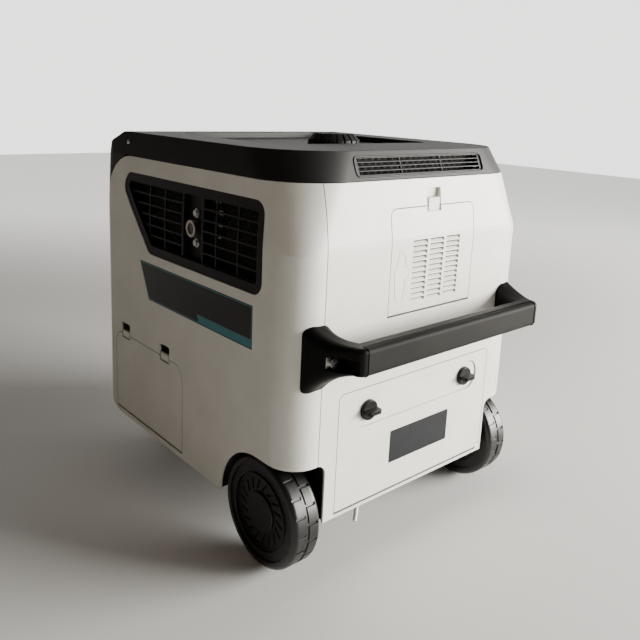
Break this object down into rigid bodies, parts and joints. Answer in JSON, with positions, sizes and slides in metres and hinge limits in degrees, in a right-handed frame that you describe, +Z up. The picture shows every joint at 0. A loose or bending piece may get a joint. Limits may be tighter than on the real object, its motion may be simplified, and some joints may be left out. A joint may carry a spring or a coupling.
{
  "type": "portable inverter generator",
  "caption": "Closed portable inverter generator on two wheels, with a carry handle, hinged service covers, side grilles, a recessed control panel and a fuel cap on top.",
  "frame": {"origin": "on the floor, under the middle of the bounding box", "axes": "+Z up, +X to the right seen from the carry handle, +Y from the handle towards the control panel"},
  "size_m": [0.458, 0.5824, 0.5619],
  "materials": {
    "pale_plastic": "fine satin moulded",
    "black_plastic": "fine grained moulded",
    "control_black": "satin moulded",
    "grey_plastic": "satin moulded",
    "label_film": "satin film",
    "badge_film": "gloss film",
    "grip_rubber": "matte",
    "tyre_rubber": "matte",
    "rim_plastic": "satin moulded",
    "zinc_steel": "zinc plated",
    "dark_steel": "black painted",
    "exhaust_steel": "heat tinted",
    "cast_aluminium": "as cast",
    "lamination_steel": "stacked sheet",
    "filter_foam": "open foam",
    "mount_rubber": "matte",
    "display_glass": "gloss",
    "start_red": "gloss",
    "clear_pvc": "clear flexible",
    "tank_plastic": "blow moulded"
  },
  "bodies": {
    "housing": {"left_side_cover": "pale_plastic", "right_side_cover": "pale_plastic", "rear_panel": "pale_plastic", "front_panel": "pale_plastic", "control_panel": "control_black", "top_cover": "black_plastic", "base_pan": "dark_steel", "wheel_housings": "black_plastic", "hinge_pins": "zinc_steel", "exhaust_grille": "black_plastic", "intake_grille": "black_plastic", "top_vent_grille": "black_plastic", "side_badges": "badge_film", "exhaust_outlet": "exhaust_steel", "exhaust_screws": "zinc_steel", "muffler": "exhaust_steel", "carry_handle": "black_plastic", "handle_grip": "grip_rubber", "handle_bolts": "zinc_steel", "axle": "zinc_steel", "axle_saddles": "dark_steel", "rubber_feet": "mount_rubber", "fuel_tank": "tank_plastic", "drain_hose": "clear_pvc", "drain_nipple": "zinc_steel", "display_window": "display_glass", "power_sockets": "grey_plastic", "ground_terminal": "zinc_steel", "engine_block": "cast_aluminium", "cylinder_head": "cast_aluminium", "stator": "lamination_steel", "air_filter_box": "black_plastic", "air_filter_element": "filter_foam", "carburettor": "cast_aluminium", "intake_duct": "mount_rubber", "inverter_module": "cast_aluminium", "battery": "black_plastic", "starter_motor": "dark_steel", "spark_plug": "zinc_steel", "engine_mounts": "mount_rubber"},
    "left_wheel": {"left_tyre": "tyre_rubber", "left_rim": "rim_plastic", "left_hub_cap": "rim_plastic"},
    "right_wheel": {"right_tyre": "tyre_rubber", "right_rim": "rim_plastic", "right_hub_cap": "rim_plastic"},
    "crank_train": {"crankshaft": "zinc_steel", "flywheel_rotor": "lamination_steel", "cooling_fan": "grey_plastic"},
    "fuel_cap": {"fuel_cap": "black_plastic"},
    "spark_plug_door": {"spark_plug_door": "pale_plastic"},
    "filter_cover": {"filter_cover": "pale_plastic", "filter_label": "label_film"},
    "filter_knob_left": {"filter_knob_left": "grey_plastic"},
    "filter_knob_right": {"filter_knob_right": "grey_plastic"},
    "service_hatch": {"service_hatch": "pale_plastic"},
    "start_button": {"start_button": "start_red"},
    "engine_dial": {"engine_dial": "grey_plastic"},
    "eco_rocker": {"eco_rocker": "grey_plastic"},
    "breaker_button": {"breaker_button": "grey_plastic"}
  },
  "joints": [
    {"name": "left_wheel_spin", "type": "hinge", "parent": "housing", "child": "left_wheel", "pos_m": [-0.202, -0.15875, 0.076], "axis": [1, 0, 0], "continuous": true},
    {"name": "right_wheel_spin", "type": "hinge", "parent": "housing", "child": "right_wheel", "pos_m": [0.202, -0.15875, 0.076], "axis": [1, 0, 0], "continuous": true},
    {"name": "crank_spin", "type": "hinge", "parent": "housing", "child": "crank_train", "pos_m": [0, -0.02375, 0.17], "axis": [1, 0, 0], "continuous": true},
    {"name": "fuel_cap_turn", "type": "hinge", "parent": "housing", "child": "fuel_cap", "pos_m": [0.006, -0.02175, 0.55], "axis": [0, 0, 1], "range_deg": [0, 120]},
    {"name": "spark_plug_door_swing", "type": "hinge", "parent": "housing", "child": "spark_plug_door", "pos_m": [0.015, -0.22025, 0.3375], "axis": [1, 0, 0], "range_deg": [0, 75]},
    {"name": "filter_cover_swing", "type": "hinge", "parent": "housing", "child": "filter_cover", "pos_m": [0.007, -0.22025, 0.082], "axis": [1, 0, 0], "range_deg": [0, 85]},
    {"name": "filter_knob_left_turn", "type": "hinge", "parent": "filter_cover", "child": "filter_knob_left", "pos_m": [-0.09425, -0.22375, 0.2115], "axis": [0, -1, 0], "range_deg": [0, 90]},
    {"name": "filter_knob_right_turn", "type": "hinge", "parent": "filter_cover", "child": "filter_knob_right", "pos_m": [0.10825, -0.22375, 0.2115], "axis": [0, -1, 0], "range_deg": [0, 90]},
    {"name": "service_hatch_swing", "type": "hinge", "parent": "housing", "child": "service_hatch", "pos_m": [-0.2255, 0.13325, 0.0855], "axis": [0, -1, 0], "range_deg": [0, 75]},
    {"name": "start_button_press", "type": "slide", "parent": "housing", "child": "start_button", "axis": [0, -1, 0], "range_m": [0, 0.003], "stiffness_N_per_m": 800},
    {"name": "breaker_button_press", "type": "slide", "parent": "housing", "child": "breaker_button", "axis": [0, -1, 0], "range_m": [0, 0.003], "stiffness_N_per_m": 800},
    {"name": "engine_dial_turn", "type": "hinge", "parent": "housing", "child": "engine_dial", "pos_m": [-0.024, 0.27725, 0.368], "axis": [0, -1, 0], "range_deg": [0, 120]},
    {"name": "eco_rocker_tip", "type": "hinge", "parent": "housing", "child": "eco_rocker", "pos_m": [-0.024, 0.27575, 0.448], "axis": [1, 0, 0], "range_deg": [-8, 8]}
  ]
}
